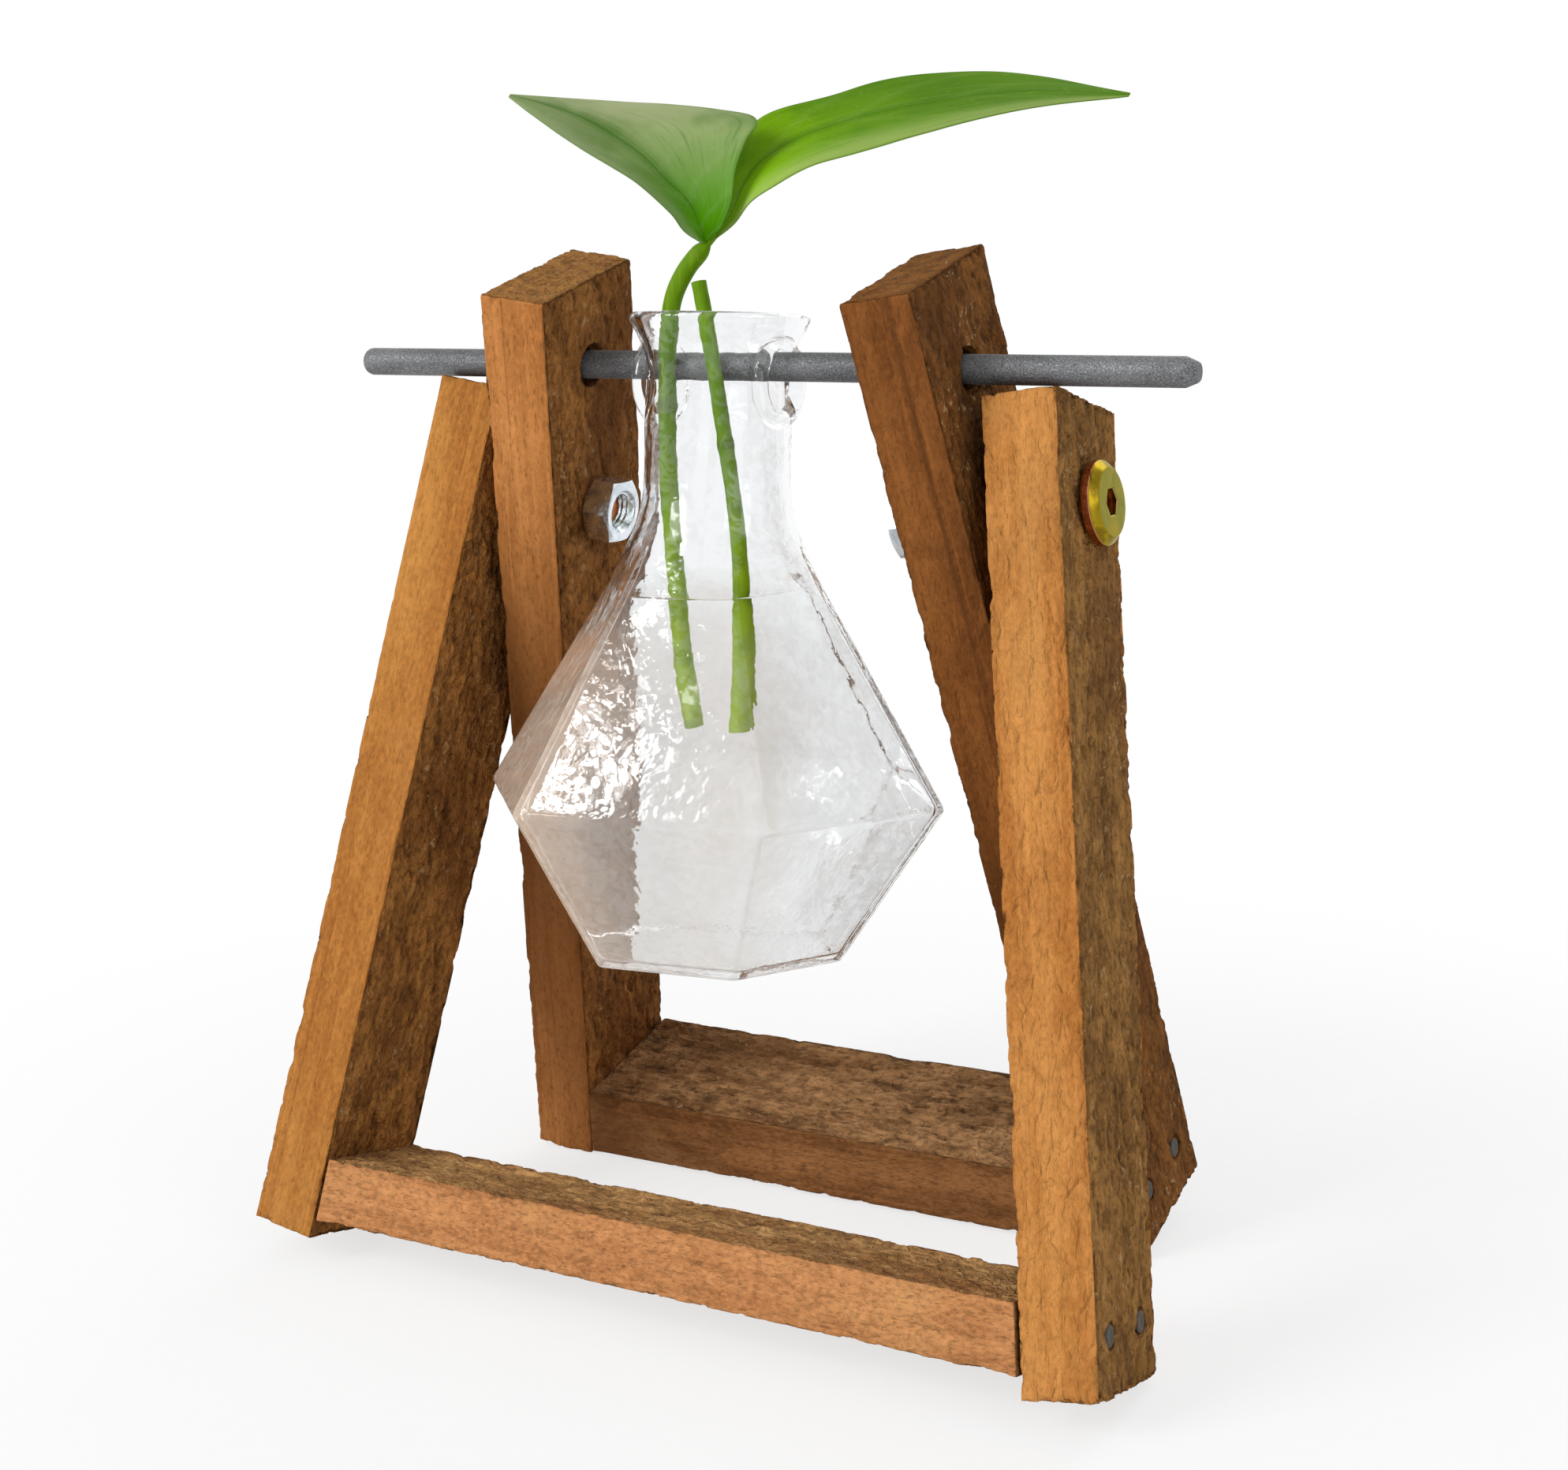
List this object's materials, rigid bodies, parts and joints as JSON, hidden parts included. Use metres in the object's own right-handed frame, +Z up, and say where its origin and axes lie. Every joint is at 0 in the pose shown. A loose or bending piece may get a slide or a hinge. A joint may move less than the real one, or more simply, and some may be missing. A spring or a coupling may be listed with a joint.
{
  "type": "hydroponic vase with wooden stand",
  "caption": "Glass vase with a hexagonal body hung by eyes in its neck on a metal rod between hinged wooden frames, holding a leafy cutting in water.",
  "frame": {"origin": "on the floor, under the middle of the whole object's box", "axes": "+Z is up, +X runs along the hanger rod towards its bevelled end, and +Y points back to the tall frame's feet"},
  "size_m": [0.2018, 0.1198, 0.2539],
  "materials": {
    "leg_wood": "rough-sawn brown softwood with smooth-sawn orange edges",
    "crossbar_wood": "rough-sawn brown softwood",
    "rod_steel": "dark grey, satin",
    "bolt_zinc": "yellow zinc plating with an iridescent sheen",
    "nut_zinc": "bright bluish zinc plating",
    "nail_steel": "dark, dull",
    "vase_glass": "clear, slightly wavy",
    "stem": "yellow-green, smooth plant stem",
    "leaf": "green, waxy leaf blade with paler veins"
  },
  "bodies": {
    "tall_frame": {"tall_left_leg": "leg_wood", "tall_right_leg": "leg_wood", "rear_crossbar": "crossbar_wood", "left_pivot_bolt": "bolt_zinc", "right_pivot_bolt": "bolt_zinc", "left_pivot_nut": "nut_zinc", "right_pivot_nut": "nut_zinc", "rear_left_front_nail": "nail_steel", "rear_left_back_nail": "nail_steel", "rear_right_front_nail": "nail_steel", "rear_right_back_nail": "nail_steel"},
    "short_frame": {"short_left_leg": "leg_wood", "short_right_leg": "leg_wood", "front_crossbar": "crossbar_wood", "front_left_front_nail": "nail_steel", "front_left_back_nail": "nail_steel", "front_right_front_nail": "nail_steel", "front_right_back_nail": "nail_steel"},
    "rod": {"hanger_rod": "rod_steel"},
    "vase": {"glass_vase": "vase_glass"},
    "plant": {"left_stem": "stem", "right_stem": "stem", "left_leaf": "leaf", "right_leaf": "leaf"}
  },
  "joints": [
    {"name": "frame_fold", "type": "hinge", "parent": "tall_frame", "child": "short_frame", "pos_m": [0, 0.00238, 0.1663], "axis": [1, 0, 0], "range_deg": [0, 16]},
    {"name": "rod_slide", "type": "slide", "parent": "tall_frame", "child": "rod", "axis": [1, 0, 0], "range_m": [0, 0.165]},
    {"name": "vase_swing", "type": "hinge", "parent": "tall_frame", "child": "vase", "pos_m": [-0.0052, -0.00314, 0.19516], "axis": [-1, 0, 0], "range_deg": [0, 100]},
    {"name": "plant_lift", "type": "slide", "parent": "vase", "child": "plant", "axis": [0, 0.0945, 0.9955], "range_m": [0, 0.12]}
  ]
}
